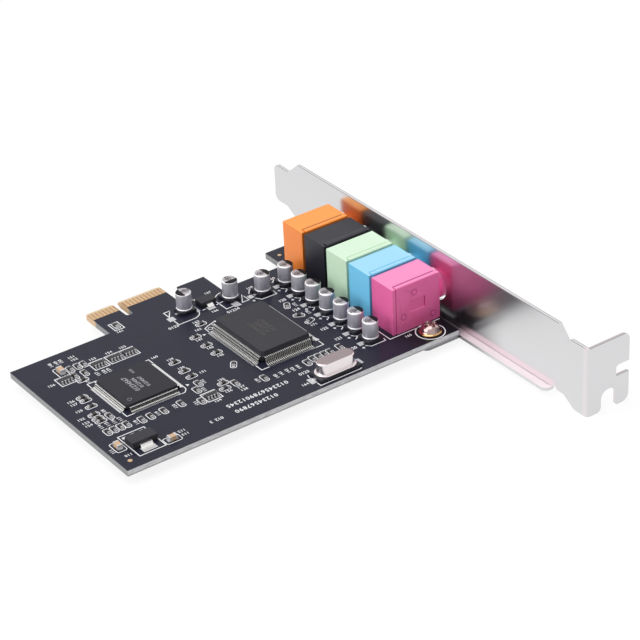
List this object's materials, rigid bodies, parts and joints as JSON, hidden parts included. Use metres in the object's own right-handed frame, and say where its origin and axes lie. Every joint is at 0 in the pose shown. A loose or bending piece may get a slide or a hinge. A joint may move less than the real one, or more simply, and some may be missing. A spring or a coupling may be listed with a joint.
{
  "type": "pci sound card",
  "caption": "Internal computer sound card: board with edge connector, chips and capacitors, coloured audio jacks and a slotted steel bracket.",
  "frame": {"origin": "middle of the bounding box at its lowest level, which is the level of the bracket tab's lower edge", "axes": "+X out through the bracket, +Y towards the edge connector and along the bracket, +Z from the solder side to the component side"},
  "size_m": [0.1058, 0.12, 0.0201],
  "materials": {
    "black_plastic": "moulded plastic",
    "black_resin": "moulded resin",
    "can_aluminium": "satin aluminium",
    "dark_ceramic": "dark glaze",
    "gold_plate": "thin gold plating",
    "light_blue_plastic": "satin plastic",
    "light_green_plastic": "satin plastic",
    "nickel": "satin nickel",
    "orange_plastic": "satin plastic",
    "pink_plastic": "satin plastic",
    "polished_steel": "polished bare steel sheet",
    "screw_steel": "yellow passivated steel",
    "solder": "solder",
    "solder_mask": "satin solder mask over glass laminate",
    "spring_brass": "tinned spring brass",
    "tan_ceramic": "bare ceramic",
    "tin": "tin plating"
  },
  "bodies": {
    "root": {"circuit_board": "solder_mask", "edge_contacts": "gold_plate", "bracket": "polished_steel", "mounting_screws": "screw_steel", "solder_joints": "solder", "capacitor_leads": "tin", "bridge_chip_body": "black_resin", "bridge_chip_leads": "tin", "audio_chip_body": "black_resin", "audio_chip_leads": "tin", "crystal_can": "nickel", "crystal_base": "black_plastic", "crystal_leads": "tin", "regulator_body": "black_resin", "regulator_leads": "tin", "power_transistor_body": "black_resin", "power_transistor_leads": "tin", "large_ceramic_capacitors": "tan_ceramic", "ceramic_capacitors": "tan_ceramic", "chip_resistors": "dark_ceramic", "resistor_arrays": "dark_ceramic", "jack_housing_1": "pink_plastic", "jack_cover_1": "pink_plastic", "jack_contacts_1": "spring_brass", "jack_housing_2": "light_blue_plastic", "jack_cover_2": "light_blue_plastic", "jack_contacts_2": "spring_brass", "jack_housing_3": "light_green_plastic", "jack_cover_3": "light_green_plastic", "jack_contacts_3": "spring_brass", "jack_housing_4": "black_plastic", "jack_cover_4": "black_plastic", "jack_contacts_4": "spring_brass", "jack_housing_5": "orange_plastic", "jack_cover_5": "orange_plastic", "jack_contacts_5": "spring_brass", "capacitor_can_1": "can_aluminium", "capacitor_base_1": "black_plastic", "capacitor_can_2": "can_aluminium", "capacitor_base_2": "black_plastic", "capacitor_can_3": "can_aluminium", "capacitor_base_3": "black_plastic", "capacitor_can_4": "can_aluminium", "capacitor_base_4": "black_plastic", "capacitor_can_5": "can_aluminium", "capacitor_base_5": "black_plastic", "capacitor_can_6": "can_aluminium", "capacitor_base_6": "black_plastic", "capacitor_can_7": "can_aluminium", "capacitor_base_7": "black_plastic", "capacitor_can_8": "can_aluminium", "capacitor_base_8": "black_plastic", "capacitor_can_9": "can_aluminium", "capacitor_base_9": "black_plastic", "capacitor_can_10": "can_aluminium", "capacitor_base_10": "black_plastic"}
  },
  "joints": []
}
